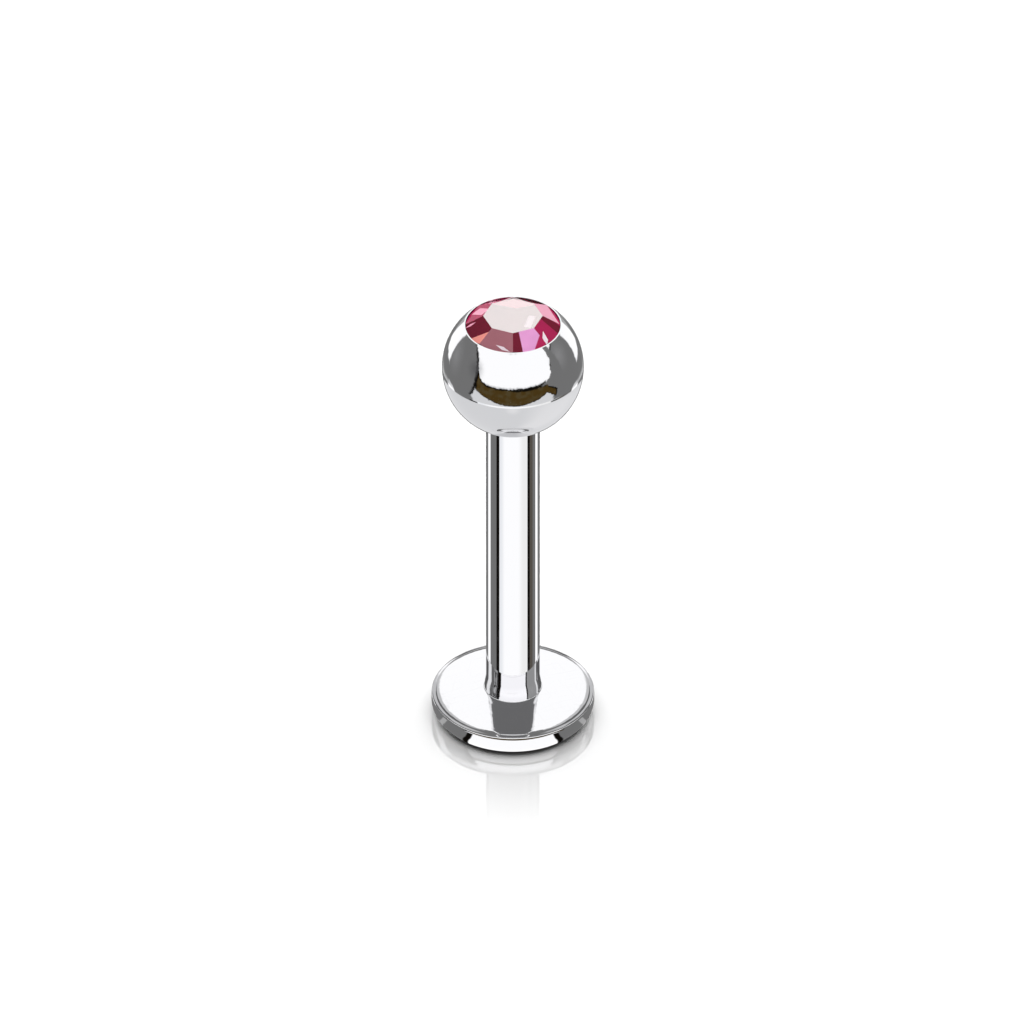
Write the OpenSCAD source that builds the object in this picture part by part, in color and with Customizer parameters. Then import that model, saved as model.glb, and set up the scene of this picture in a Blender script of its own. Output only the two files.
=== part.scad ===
// Labret stud: a flat back disc welded to a straight post, and a ball that
// screws onto the post and carries a cut stone in its top.
// Millimetres. The origin is the centre of the disc's underside, +Z runs up
// the post to the stone.

/* [Post] */
// Diameter of the post, 14 gauge
post_d = 1.6; // [1.2:0.05:2.4]
// Length of the post from the level of the disc's upper edge to the ball
post_len = 10; // [6:0.5:16]
// Radius of the weld fillet where the post meets the disc
foot_fillet = 0.08; // [0.02:0.01:0.2]
// Bevel round the shoulder at the top of the post, which the ball seats on
shoulder_bevel = 0.06; // [0.04:0.01:0.1]

/* [Disc] */
// Diameter of the back disc
disc_d = 4.85; // [3.5:0.05:8]
// Thickness of the back disc at its edge
disc_t = 0.7; // [0.6:0.05:1.5]
// How far the disc's top rises towards the post
disc_rise = 0.19; // [0.05:0.01:0.4]
// Bevel round the disc's upper edge
disc_bevel = 0.08; // [0.03:0.01:0.15]
// Radius of the disc's rounded lower edge
disc_round = 0.45; // [0.2:0.05:0.45]

/* [Thread] */
// Pitch of the thread, right hand
thread_pitch = 0.35; // [0.3:0.01:0.45]
// Step from the post down to the crest of the thread
crest_step = 0.03; // [0.01:0.005:0.06]
// Depth of the thread from crest to root
thread_depth = 0.15; // [0.1:0.01:0.18]
// Width of the flat along each crest
crest_w = 0.06; // [0.04:0.01:0.08]
// Angle of each flank to a plane square to the post
flank_angle = 30; // [20:1:33]
// Rounding of the threaded tip
tip_round = 0.3; // [0.15:0.05:0.35]
// Clearance of the ball's thread all round the post's thread
thread_gap = 0.04; // [0.03:0.005:0.06]

/* [Ball] */
// Diameter of the ball
ball_d = 4.2; // [3.9:0.05:6]
// How much wider than the post the countersink is at the ball's underside
sink_margin = 0.11; // [0.06:0.01:0.3]
// Room between the post's tip and the end of the hole
hole_spare = 0.1; // [0.05:0.01:0.2]
// Steel left between the hole and the stone's seat
web_t = 0.2; // [0.15:0.01:0.6]
// Gap between the countersink and the shoulder when the ball is screwed home
rest_gap = 0.01; // [0.005:0.001:0.02]

/* [Stone] */
// Diameter of the stone over its girdle
stone_d = 2.79; // [2:0.01:3.1]
// Width of the table across its corners
table_d = 1.76; // [1.2:0.01:1.95]
// Height of the crown above the girdle
crown_h = 0.38; // [0.2:0.01:0.6]
// Height of the girdle in the middle of each facet
girdle_h = 0.04; // [0.02:0.01:0.1]
// Depth of the pavilion below the girdle
pavilion_h = 1.15; // [0.7:0.01:1.3]
// Number of main facets round the crown, and round the pavilion
facet_n = 8; // [8:1:16]

/* [Setting] */
// Gap between the girdle and the bore that it sits in
seat_gap = 0.015; // [0.01:0.005:0.04]
// Depth of the bevel at the mouth of that bore
lip_bevel = 0.06; // [0.02:0.01:0.1]
// Depth of the girdle's upper edge below the mouth of the bore
stone_sink = 0.09; // [0:0.01:0.15]
// Thickness of the bed of foil and cement under the stone
bed_t = 0.06; // [0.03:0.01:0.12]
// Gap on each side of the bed
bed_gap = 0.02; // [0.01:0.005:0.04]

/* [Hidden] */
$fn = 96;
thread_fn = 24;
eps = 0.01;

post_r = post_d / 2;
disc_r = disc_d / 2;
ball_r = ball_d / 2;
stone_r = stone_d / 2;
seat_r = stone_r + seat_gap;
crest_r = post_r - crest_step;
lower_round = min(disc_round, disc_t - disc_bevel);
weld_z = disc_t + disc_rise;

// Heights along the post. The ball's countersink and the post's shoulder both
// slope at 45 degrees, and the gap between them is measured square to both.
under_r = post_r + sink_margin;
under_z = disc_t + post_len;
shoulder_z = under_z + sink_margin + shoulder_bevel - rest_gap * sqrt(2);
ball_z = under_z + sqrt(pow(ball_r, 2) - pow(under_r, 2));
mouth_z = ball_z + sqrt(pow(ball_r, 2) - pow(seat_r, 2));

// The stone's planes. A facet meets the girdle highest, or lowest, at its
// corners, because its apothem is shorter than the corner radius.
half_facet = 180 / facet_n;
girdle_z = mouth_z - stone_sink;
table_z = girdle_z + crown_h;
table_apothem = table_d / 2 * cos(half_facet);
crown_angle = atan(crown_h / (stone_r - table_apothem));
culet_z = girdle_z - girdle_h - pavilion_h;
pavilion_angle = atan(pavilion_h / stone_r);

// The cone through the pavilion's corners, and the seat and bed that follow it
corner_slope = tan(pavilion_angle) * cos(half_facet);
corner_angle = atan(corner_slope);
bed_top_z = culet_z - bed_gap / cos(corner_angle);
bed_low_z = culet_z - (bed_gap + bed_t) / cos(corner_angle);
seat_low_z = culet_z - (2 * bed_gap + bed_t) / cos(corner_angle);
bed_rim_r = stone_r - bed_t;

// The hole and the thread fill what the seat leaves of the ball
hole_end_z = seat_low_z - web_t;
tip_z = hole_end_z - hole_spare;

// How far the ball's flanks stand back along the axis to clear the post's by
// thread_gap, measured square to the flank
flank_shift = thread_gap * (1 - sin(flank_angle)) / cos(flank_angle);

// A right-hand threaded rod, as a strip one pitch wide wound up the axis with a
// fan of triangles over each end. It covers at least low_z to high_z.
module threaded_rod(crest, width, low_z, high_z) {
    root = crest - thread_depth;
    foot = width / 2 + thread_depth * tan(flank_angle);
    profile = [[root, -foot], [crest, -width / 2], [crest, width / 2], [root, foot]];
    lift = thread_pitch / thread_fn;
    start_z = low_z - 1.5 * thread_pitch;
    steps = ceil((high_z - low_z + 3 * thread_pitch) / lift);
    end_z = start_z + steps * lift;
    strip = [
        for (i = [0:steps])
            let (z = start_z + i * lift, a = 360 * z / thread_pitch)
            for (p = profile)
                [p[0] * cos(a), p[0] * sin(a), z + p[1]]
    ];
    low_centre = len(strip);
    high_centre = low_centre + 1;
    function at(i, k) = k < 4 ? 4 * i + k : 4 * (i + thread_fn);
    sides = [
        for (i = [0:steps - 1], k = [0:i < steps - thread_fn ? 3 : 2])
            each [[at(i, k), at(i, k + 1), at(i + 1, k + 1)], [at(i, k), at(i + 1, k + 1), at(i + 1, k)]]
    ];
    low_cap = concat(
        [for (i = [0:thread_fn - 1]) [at(i, 0), at(i + 1, 0), low_centre]],
        [for (k = [0:3]) [at(0, k + 1), at(0, k), low_centre]]
    );
    high_cap = concat(
        [for (i = [steps - thread_fn:steps - 1]) [at(i + 1, 3), at(i, 3), high_centre]],
        [for (k = [0:2]) [at(steps, k), at(steps, k + 1), high_centre]],
        [[at(steps - thread_fn, 3), at(steps, 0), high_centre]]
    );
    polyhedron(
        points = concat(strip, [[0, 0, start_z + thread_pitch / 2], [0, 0, end_z - thread_pitch / 2]]),
        faces = concat(sides, low_cap, high_cap),
        convexity = 10
    );
}

// What rounding takes off an outline's corner, when the corner is at the
// origin and the outline lies towards -X and -Y
module rounding(r) {
    difference() {
        translate([-r, -r])
            square(r + eps);
        translate([-r, -r])
            circle(r = r);
    }
}

// Half the section of the disc, whose top is a shallow cone, the weld fillet and
// the plain post
module post_profile() {
    difference() {
        polygon([
            [0, 0],
            [disc_r, 0],
            [disc_r, disc_t - disc_bevel],
            [disc_r - disc_bevel, disc_t],
            [post_r + foot_fillet, weld_z],
            [post_r, weld_z + foot_fillet],
            [post_r, shoulder_z - shoulder_bevel],
            [post_r - shoulder_bevel, shoulder_z],
            [0, shoulder_z]
        ]);
        translate([disc_r, 0])
            mirror([0, 1])
                rounding(lower_round);
        translate([post_r + foot_fillet, weld_z + foot_fillet])
            circle(r = foot_fillet);
    }
}

// The threaded end, whose foot stands inside the shoulder
module thread_end() {
    foot_z = shoulder_z - 2 * shoulder_bevel;
    rod_r = post_r - crest_step / 2;
    intersection() {
        threaded_rod(crest_r, crest_w, foot_z, tip_z);
        rotate_extrude()
            difference() {
                translate([0, foot_z])
                    square([rod_r, tip_z - foot_z]);
                translate([rod_r, tip_z])
                    rounding(tip_round);
            }
    }
}

module labret_post() {
    color("gainsboro")
    union() {
        rotate_extrude()
            post_profile();
        thread_end();
    }
}

// The tapped hole and its countersink, as the solid that the ball loses
module tapped_hole() {
    tap_r = crest_r + thread_gap;
    intersection() {
        threaded_rod(tap_r, crest_w + 2 * flank_shift, under_z - sink_margin, hole_end_z);
        translate([0, 0, under_z - sink_margin])
            cylinder(r = under_r, h = hole_end_z - under_z + sink_margin);
    }
    translate([0, 0, under_z - ball_r])
        cylinder(r1 = under_r + ball_r, r2 = 0, h = under_r + ball_r);
}

// The stone's seat, as the solid that the ball loses: a bore with a cone below
// that follows the pavilion, and a bevel at its mouth
module stone_seat() {
    rotate_extrude()
        polygon([
            [0, seat_low_z],
            [seat_r, seat_low_z + seat_r * corner_slope],
            [seat_r, mouth_z - lip_bevel],
            [seat_r + 2 * lip_bevel, mouth_z + lip_bevel],
            [seat_r + 2 * lip_bevel, mouth_z + ball_r],
            [0, mouth_z + ball_r]
        ]);
}

module threaded_ball() {
    color("silver")
    difference() {
        translate([0, 0, ball_z])
            sphere(r = ball_r);
        tapped_hole();
        stone_seat();
    }
}

// A block whose lower face is the plane of one facet, out of the way of the
// stone: it leans by the facet's angle about a tangent at the given radius
module facet_cut(side, radius, z, angle) {
    rotate([0, 0, side * 2 * half_facet + half_facet])
        translate([radius, 0, z])
            rotate([0, angle, 0])
                translate([-stone_d, -stone_d, 0])
                    cube([2 * stone_d, 2 * stone_d, stone_d]);
}

module crystal() {
    color("hotpink")
    difference() {
        translate([0, 0, culet_z])
            cylinder(r = stone_r, h = table_z - culet_z);
        for (side = [0:facet_n - 1]) {
            facet_cut(side, stone_r, girdle_z, crown_angle);
            mirror([0, 0, 1])
                facet_cut(side, stone_r, girdle_h - girdle_z, pavilion_angle);
        }
    }
}

// The bed lines the seat's cone and leaves the culet a pointed hollow
module stone_bed() {
    low_rim_z = bed_low_z + bed_rim_r * corner_slope;
    color("palevioletred")
    rotate_extrude()
        polygon([
            [0, bed_low_z],
            [bed_rim_r, low_rim_z],
            [(low_rim_z - bed_top_z) / corner_slope, low_rim_z],
            [0, bed_top_z]
        ]);
}

labret_post();
threaded_ball();
crystal();
stone_bed();
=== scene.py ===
"""Dresses the labret stud: a polished steel post on a disc, and a ball set with a pink stone.

Shapes are drawn in millimetres on the bench and brought into the frame's metres
when they are finished. The frame's origin is the centre of the disc's underside,
and +Z runs up the post.
"""

from __future__ import annotations

import logging
import math
from dataclasses import dataclass
from enum import Enum
from typing import Callable

import bmesh
import bpy
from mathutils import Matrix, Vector

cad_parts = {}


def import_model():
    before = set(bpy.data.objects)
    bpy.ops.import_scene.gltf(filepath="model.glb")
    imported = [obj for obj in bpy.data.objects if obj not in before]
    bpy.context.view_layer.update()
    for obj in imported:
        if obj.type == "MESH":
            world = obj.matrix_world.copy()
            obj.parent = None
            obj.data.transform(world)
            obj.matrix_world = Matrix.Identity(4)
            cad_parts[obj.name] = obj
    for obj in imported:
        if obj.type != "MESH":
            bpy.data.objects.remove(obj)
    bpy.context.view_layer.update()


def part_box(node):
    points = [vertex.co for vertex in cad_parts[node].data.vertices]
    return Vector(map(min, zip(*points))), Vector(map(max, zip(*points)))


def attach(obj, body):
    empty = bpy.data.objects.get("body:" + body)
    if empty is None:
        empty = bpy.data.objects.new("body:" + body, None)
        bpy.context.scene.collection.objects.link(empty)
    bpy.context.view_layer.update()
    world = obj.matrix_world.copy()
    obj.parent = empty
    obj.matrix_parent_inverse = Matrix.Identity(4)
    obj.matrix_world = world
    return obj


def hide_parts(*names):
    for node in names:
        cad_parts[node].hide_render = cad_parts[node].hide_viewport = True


log = logging.getLogger("labret_stud")

MM = 0.001
FULL_TURN = 2 * math.pi

# The flats round a ball, a post, one turn of a thread and a stone
BALL_SIDES = POST_SIDES = 192
THREAD_STEPS = 96
GIRDLE_SIDES = 128

# Millimetres: how near points lie that are merged, or that a cut takes in
MERGE_GAP = 2e-5
CUT_GAP = 1e-6

# Degrees: the angle above which an edge of a round or a faceted piece stays sharp
ROUND_EDGE = 28.0
FACET_EDGE = 12.0

# How far a panel's corner sweeps up in degrees, and how late
CORNER_RISE = 12.0
CORNER_POWER = 8.0

# How finely the patches' edges waver, between which heights in degrees that sets in, and
# what brings the noise to its full swing
WAVER_SCALE = 14.0
STILL_BELOW = -34.5
WAVER_ABOVE = -30.0
WAVER_GAIN = 4.0

# The blotches of a patchy panel: their size in the sky and their edges in the noise
CLOUD_GRAIN = 0.15
CLOUD_EDGES = (0.4, 0.65)

# The hairlines: their turns in degrees and strengths, the stretch, the size in
# millimetres and the edges of the noise that draws them, and their shade
HAIRLINES = ((24.0, 1.0), (-63.0, 0.7), (81.0, 0.5))
HAIRLINE_STRETCH = (9.0, 0.35, 1.0)
HAIRLINE_GRAIN = 0.12
HAIRLINE_EDGES = (0.58, 0.7)
HAIRLINE_SHADE = 0.35

# Ray depths that tell none from one bounce, and one from two
FIRST_BOUNCE = 0.5
SECOND_BOUNCE = 1.5

# A Mix node's sockets for the share and the two colours, and for the mixed colour
MIX_INPUTS = (0, 6, 7)
MIX_OUTPUT = 2

Triple = tuple[float, float, float]
Colour = Triple
Socket = bpy.types.NodeSocket
Node = bpy.types.Node
Material = bpy.types.Material
Piece = bpy.types.Object
Face = bpy.types.MeshPolygon


class Body(Enum):
    """The moving bodies of the frame."""

    POST = "post"
    BED = "bed"
    BALL = "ball"


class Slot(Enum):
    """The record's material slots."""

    POST = "post_steel"
    BALL = "ball_steel"
    STONE = "pink_crystal"
    BED = "foil_cement"


class Side(Enum):
    """Which side of the studio something lies on, as the camera sees it."""

    LEFT = -1
    BOTH = 0
    RIGHT = 1


class Cut(Enum):
    """What one solid does to another."""

    JOIN = "UNION"
    CARVE = "DIFFERENCE"
    KEEP = "INTERSECT"


def top_of(node: str) -> float:
    """Returns the height in millimetres of a CAD node's top."""
    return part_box(node)[1].z / MM


def foot_of(node: str) -> float:
    """Returns the height in millimetres of a CAD node's lowest point."""
    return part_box(node)[0].z / MM


def tangent(degrees: float) -> float:
    """Returns the tangent of an angle in degrees."""
    return math.tan(math.radians(degrees))


def clear_selection() -> None:
    """Leaves edit mode and deselects everything."""
    if bpy.context.object is not None and bpy.context.object.mode != "OBJECT":
        bpy.ops.object.mode_set(mode="OBJECT")
    bpy.ops.object.select_all(action="DESELECT")


class Workpiece:
    """A mesh on the bench, in millimetres until it is finished."""

    def __init__(self, name: str) -> None:
        """Takes up the object that was just added.

        Args:
            name: What the piece is called.
        """
        self.thing = bpy.context.object
        self.thing.name = name
        self.thing.data.name = name

    def take(self) -> None:
        """Makes this the only selected object."""
        clear_selection()
        self.thing.select_set(True)
        bpy.context.view_layer.objects.active = self.thing

    def edit(self, mode: str = "FACE") -> None:
        """Opens the mesh with all of it selected.

        Args:
            mode: The kind of element to select.
        """
        self.take()
        bpy.ops.object.mode_set(mode="EDIT")
        bpy.ops.mesh.select_mode(type=mode)
        bpy.ops.mesh.select_all(action="SELECT")

    def close(self) -> None:
        """Merges doubled points, turns every face outwards and leaves edit mode."""
        bpy.ops.mesh.select_all(action="SELECT")
        bpy.ops.mesh.remove_doubles(threshold=MERGE_GAP)
        bpy.ops.mesh.normals_make_consistent(inside=False)
        bpy.ops.object.mode_set(mode="OBJECT")

    def slice(self, point: Vector, normal: Vector) -> None:
        """Takes off what lies beyond a plane, on the side of its normal, and closes the cut."""
        bpy.ops.mesh.select_all(action="SELECT")
        bpy.ops.mesh.bisect(
            plane_co=point, plane_no=normal, use_fill=True, clear_outer=True, threshold=CUT_GAP
        )

    def work(self, tool: Workpiece, cut: Cut) -> None:
        """Joins this solid with a tool, carves it or keeps what they share.

        Args:
            tool: The other solid, which is used up.
            cut: What the tool does.
        """
        self.take()
        modifier = self.thing.modifiers.new("cut", "BOOLEAN")
        modifier.operation = cut.value
        modifier.solver = "EXACT"
        modifier.object = tool.thing
        bpy.ops.object.modifier_apply(modifier=modifier.name)
        bpy.data.objects.remove(tool.thing)

    def finish(self, smooth_under: float) -> Piece:
        """Brings the piece into the frame's metres and smooths its round faces.

        Args:
            smooth_under: The angle in degrees above which an edge stays sharp.

        Returns:
            The finished object, with its place in its mesh.
        """
        self.take()
        self.thing.scale = (MM, MM, MM)
        bpy.ops.object.transform_apply(location=True, rotation=True, scale=True)
        bpy.ops.object.shade_smooth_by_angle(angle=math.radians(smooth_under))
        return self.thing


class Section:
    """Half a section in the XZ plane, drawn point by point and then turned."""

    def __init__(self, r: float, z: float) -> None:
        """Puts down the first point.

        Args:
            r: Its distance from the axis.
            z: Its height.
        """
        clear_selection()
        bpy.ops.mesh.primitive_plane_add(size=1.0)
        bpy.ops.object.mode_set(mode="EDIT")
        bpy.ops.mesh.select_mode(type="VERT")
        bpy.ops.mesh.select_all(action="SELECT")
        bpy.ops.mesh.merge(type="CENTER")
        bpy.ops.transform.translate(value=(r, 0, z))
        self.r = r
        self.z = z

    def line(self, r: float, z: float) -> Section:
        """Draws a straight line to a point.

        Args:
            r: The point's distance from the axis.
            z: Its height.

        Returns:
            This section.
        """
        step = (r - self.r, 0, z - self.z)
        bpy.ops.mesh.extrude_vertices_move(TRANSFORM_OT_translate={"value": step})
        self.r, self.z = r, z
        return self

    def arc(self, centre_r: float, centre_z: float, degrees: float, steps: int) -> Section:
        """Draws an arc about a centre, anticlockwise with the axis on the left.

        Args:
            centre_r: The centre's distance from the axis.
            centre_z: Its height.
            degrees: The angle of the arc.
            steps: How many lines it is drawn with.

        Returns:
            This section.
        """
        angle = math.radians(degrees)
        bpy.ops.mesh.spin(
            steps=steps, angle=angle, center=(centre_r, 0, centre_z), axis=(0, 1, 0)
        )
        across, up = self.r - centre_r, self.z - centre_z
        self.r = centre_r + across * math.cos(angle) - up * math.sin(angle)
        self.z = centre_z + across * math.sin(angle) + up * math.cos(angle)
        return self

    def bow(self, r: float, z: float, lean: float, steps: int) -> Section:
        """Draws an arc to a point, over the top.

        Args:
            r: The point's distance from the axis.
            z: Its height.
            lean: How far the surface leans outwards where the arc starts, in degrees.
            steps: How many lines it is drawn with.

        Returns:
            This section.
        """
        angle = math.radians(lean)
        across, up = r - self.r, z - self.z
        out = across * math.sin(angle) + up * math.cos(angle)
        radius = -(across**2 + up**2) / (2 * out)
        centre_r = self.r - radius * math.sin(angle)
        centre_z = self.z - radius * math.cos(angle)
        end = math.degrees(math.atan2(z - centre_z, r - centre_r))
        return self.arc(centre_r, centre_z, end - (90 - lean), steps)

    def curl(self, start: float, end: float, length: float, steps: int) -> Section:
        """Draws a curve inwards and upwards that turns evenly from one lean to another.

        Args:
            start: How far the surface leans outwards from level at the start, in degrees.
            end: How far it leans at the end.
            length: The length of the curve.
            steps: How many lines it is drawn with.

        Returns:
            This section.
        """
        for step in range(steps):
            lean = math.radians(start + (end - start) * (step + 0.5) / steps)
            self.line(
                self.r - math.cos(lean) * length / steps, self.z + math.sin(lean) * length / steps
            )
        return self

    def lay(self, name: str) -> Workpiece:
        """Returns the section as a line of edges."""
        bpy.ops.object.mode_set(mode="OBJECT")
        return Workpiece(name)

    def turn(self, name: str, sides: int) -> Workpiece:
        """Turns the section into a solid round the Z axis.

        Args:
            name: What the solid is called.
            sides: How many flats go round it.

        Returns:
            The solid.
        """
        bpy.ops.mesh.select_all(action="SELECT")
        bpy.ops.mesh.spin(steps=sides, angle=FULL_TURN, center=(0, 0, 0), axis=(0, 0, 1))
        piece = Workpiece(name)
        piece.close()
        return piece


@dataclass(frozen=True)
class Thread:
    """A right-hand thread, in millimetres and degrees."""

    pitch: float = 0.35
    crest_step: float = 0.03
    depth: float = 0.15
    crest_w: float = 0.06
    flank_angle: float = 30.0
    clearance: float = 0.04

    @property
    def tapped_crest_w(self) -> float:
        """The width of the groove's floor, whose flanks clear the other thread's."""
        angle = math.radians(self.flank_angle)
        return self.crest_w + 2 * self.clearance * (1 - math.sin(angle)) / math.cos(angle)

    def rod(self, name: str, crest_r: float, crest_w: float, low: float, high: float) -> Workpiece:
        """Winds one turn's profile up the axis and closes the ends.

        Args:
            name: What the rod is called.
            crest_r: The radius over the crests.
            crest_w: The width of a crest.
            low: The height that the rod starts below.
            high: The height that it ends above.

        Returns:
            A closed rod.
        """
        root = crest_r - self.depth
        foot = crest_w / 2 + self.depth * tangent(self.flank_angle)
        start = self.pitch * (math.floor(low / self.pitch) - 2)
        turns = math.ceil((high - start) / self.pitch) + 2
        line = Section(root, start - foot)
        line.line(crest_r, start - crest_w / 2).line(crest_r, start + crest_w / 2)
        line.line(root, start + foot).line(root, start - foot + self.pitch)
        piece = line.lay(name)
        piece.take()
        winding = piece.thing.modifiers.new("winding", "SCREW")
        winding.angle = FULL_TURN
        winding.screw_offset = self.pitch
        winding.iterations = turns
        winding.steps = winding.render_steps = THREAD_STEPS
        bpy.ops.object.modifier_apply(modifier=winding.name)
        middle = start + turns * self.pitch / 2
        for upper in (False, True):
            self.close_end(piece, middle, upper)
        piece.edit()
        piece.close()
        return piece

    def close_end(self, piece: Workpiece, middle: float, upper: bool) -> None:
        """Draws one open end of the winding to its centre.

        Args:
            piece: The winding.
            middle: Half its height.
            upper: Whether the upper end is the one to close.
        """
        piece.edit("VERT")
        bpy.ops.mesh.remove_doubles(threshold=MERGE_GAP)
        bpy.ops.mesh.select_mode(type="EDGE")
        bpy.ops.mesh.select_all(action="DESELECT")
        mesh = bmesh.from_edit_mesh(piece.thing.data)
        for edge in mesh.edges:
            height = (edge.verts[0].co.z + edge.verts[1].co.z) / 2
            edge.select_set(edge.is_boundary and (height > middle) == upper)
        bmesh.update_edit_mesh(piece.thing.data)
        bpy.ops.mesh.extrude_edges_move()
        bpy.ops.mesh.merge(type="CENTER")
        bpy.ops.object.mode_set(mode="OBJECT")


class Graph:
    """Wires the nodes of one shader."""

    def __init__(self, tree: bpy.types.NodeTree) -> None:
        """Takes up the node tree of a material or of the world."""
        self.tree = tree

    def feed(self, socket: Socket, value: object) -> None:
        """Links a socket, or sets it.

        Args:
            socket: The input.
            value: Another node's output, a colour or a plain value.
        """
        if isinstance(value, Socket):
            self.tree.links.new(value, socket)
        elif socket.type == "RGBA":
            socket.default_value = (*value, 1.0)
        else:
            socket.default_value = value

    def feed_all(self, node: Node, *values: object) -> Node:
        """Feeds a node's inputs in their order.

        Args:
            node: The node.
            values: What goes into its first inputs.

        Returns:
            The node.
        """
        for socket, value in zip(node.inputs, values):
            self.feed(socket, value)
        return node

    def fill(self, node: Node, given: dict[str, object]) -> None:
        """Feeds a node's inputs by name."""
        for name, value in given.items():
            self.feed(node.inputs[name], value)

    def add(self, kind: str, given: dict[str, object] | None = None, **settings: object) -> Node:
        """Adds a node.

        Args:
            kind: The node's type, without its leading ShaderNode.
            given: What goes into its inputs, by name.
            settings: Its properties.

        Returns:
            The node.
        """
        node = self.tree.nodes.new("ShaderNode" + kind)
        for name, value in settings.items():
            setattr(node, name, value)
        self.fill(node, given or {})
        return node

    def math(self, operation: str, *values: object) -> Socket:
        """Returns the result of a sum on numbers."""
        return self.feed_all(self.add("Math", operation=operation), *values).outputs[0]

    def vector(self, operation: str, *values: object, result: str = "Vector") -> Socket:
        """Returns the result of a sum on vectors, which can be a plain value."""
        return self.feed_all(self.add("VectorMath", operation=operation), *values).outputs[result]

    def ease(self, value: object, start: float, end: float,
             low: object = 0.0, high: object = 1.0) -> Socket:
        """Returns a smooth step from low to high while a value goes from start to end."""
        node = self.add("MapRange", interpolation_type="SMOOTHSTEP")
        return self.feed_all(node, value, start, end, low, high).outputs[0]

    def blend(self, share: object, first: object, second: object) -> Socket:
        """Returns a mix of two colours.

        Args:
            share: How much of the second colour there is.
            first: The first colour.
            second: The second colour.

        Returns:
            The mixed colour.
        """
        node = self.add("Mix", data_type="RGBA")
        for number, given in zip(MIX_INPUTS, (share, first, second)):
            self.feed(node.inputs[number], given)
        return node.outputs[MIX_OUTPUT]

    def place(self, scale: Triple = (1.0, 1.0, 1.0), turn: float = 0.0,
              centre: Triple = (0.0, 0.0, 0.0)) -> Socket:
        """Returns the object's own coordinates, stretched and turned.

        Args:
            scale: The stretch along each axis.
            turn: The turn about Z in degrees.
            centre: The point in metres that becomes the origin.

        Returns:
            The coordinates.
        """
        own = self.add("TexCoord").outputs["Object"]
        rotation = (0.0, 0.0, math.radians(turn))
        given = {"Vector": own, "Location": centre, "Rotation": rotation, "Scale": scale}
        return self.add("Mapping", given, vector_type="TEXTURE").outputs[0]

    def split(self, vector: Socket) -> tuple[Socket, ...]:
        """Returns a vector's three parts."""
        return tuple(self.feed_all(self.add("SeparateXYZ"), vector).outputs)

    def bearing(self, x: object, y: object) -> Socket:
        """Returns how many degrees a direction turns from the camera's side, either way."""
        ahead = self.math("MULTIPLY", y, -1.0)
        return self.math("DEGREES", self.math("ARCTAN2", self.math("ABSOLUTE", x), ahead))

    def within(self, value: object, low: float, high: float, soft: float) -> Socket:
        """Returns 1 between two values and 0 outside, where soft is half an edge's width."""
        above = self.ease(value, low - soft, low + soft)
        return self.math("MULTIPLY", above, self.ease(value, high + soft, high - soft))

    def noise(self, where: Socket, grain: float, detail: float = 2.0) -> Socket:
        """Returns noise about 0.5, with blotches of a size in metres and finer layers."""
        node = self.add("TexNoise", {"Vector": where, "Scale": 1 / grain, "Detail": detail})
        return node.outputs["Fac"]

    def raise_surface(self, shader: Node, height: object) -> None:
        """Bumps a shader's surface by a height in metres."""
        bump = self.add("Bump", {"Distance": 1.0, "Height": height})
        self.feed(shader.inputs["Normal"], bump.outputs[0])

    def distance(self) -> Socket:
        """Returns the distance from the object's origin in metres."""
        return self.vector("LENGTH", self.place(), result="Value")


def new_material(name: str) -> tuple[Material, Graph, Node]:
    """Makes an empty material with one shader.

    Args:
        name: What it is called.

    Returns:
        The material, its graph and its shader node.
    """
    material = bpy.data.materials.new(name)
    material.use_nodes = True
    graph = Graph(material.node_tree)
    return material, graph, material.node_tree.nodes["Principled BSDF"]


@dataclass(frozen=True)
class WeldMarks:
    """The lumps that welding leaves on the foot of the post, in millimetres and degrees.

    They are strongest on the left, and none lie at the front.
    """

    low: float
    top: float
    edge: float = 0.02
    grain: float = 0.16
    height: float = 0.006
    dull: float = 0.06
    dull_edge: float = 0.35
    front: tuple[float, float] = (20.0, 32.0)
    middle: float = 0.3
    right: float = 0.3

    def leave(self, graph: Graph, roughness: object,
              height: object) -> tuple[Socket, Socket]:
        """Adds the lumps to a surface.

        Args:
            graph: The material's graph.
            roughness: The surface's roughness without them.
            height: Its height without them.

        Returns:
            The roughness and the height with them.
        """
        x, y, up = graph.split(graph.place())
        near = graph.ease(up, self.top * MM, self.low * MM)
        above = graph.ease(up, (self.low - self.edge) * MM, (self.low + self.edge) * MM)
        near = graph.math("MULTIPLY", near, above)
        left = graph.ease(x, self.middle * MM, -self.middle * MM, self.right, 1.0)
        lumps = graph.noise(graph.place(), self.grain * MM, 1.0)
        for share in (self.height * MM, graph.ease(graph.bearing(x, y), *self.front), left):
            lumps = graph.math("MULTIPLY", lumps, share)
        dulled = graph.ease(near, 0.0, self.dull_edge, 0.0, self.dull)
        raised = graph.math("MULTIPLY_ADD", lumps, near, height)
        return graph.math("ADD", roughness, dulled), raised


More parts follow.
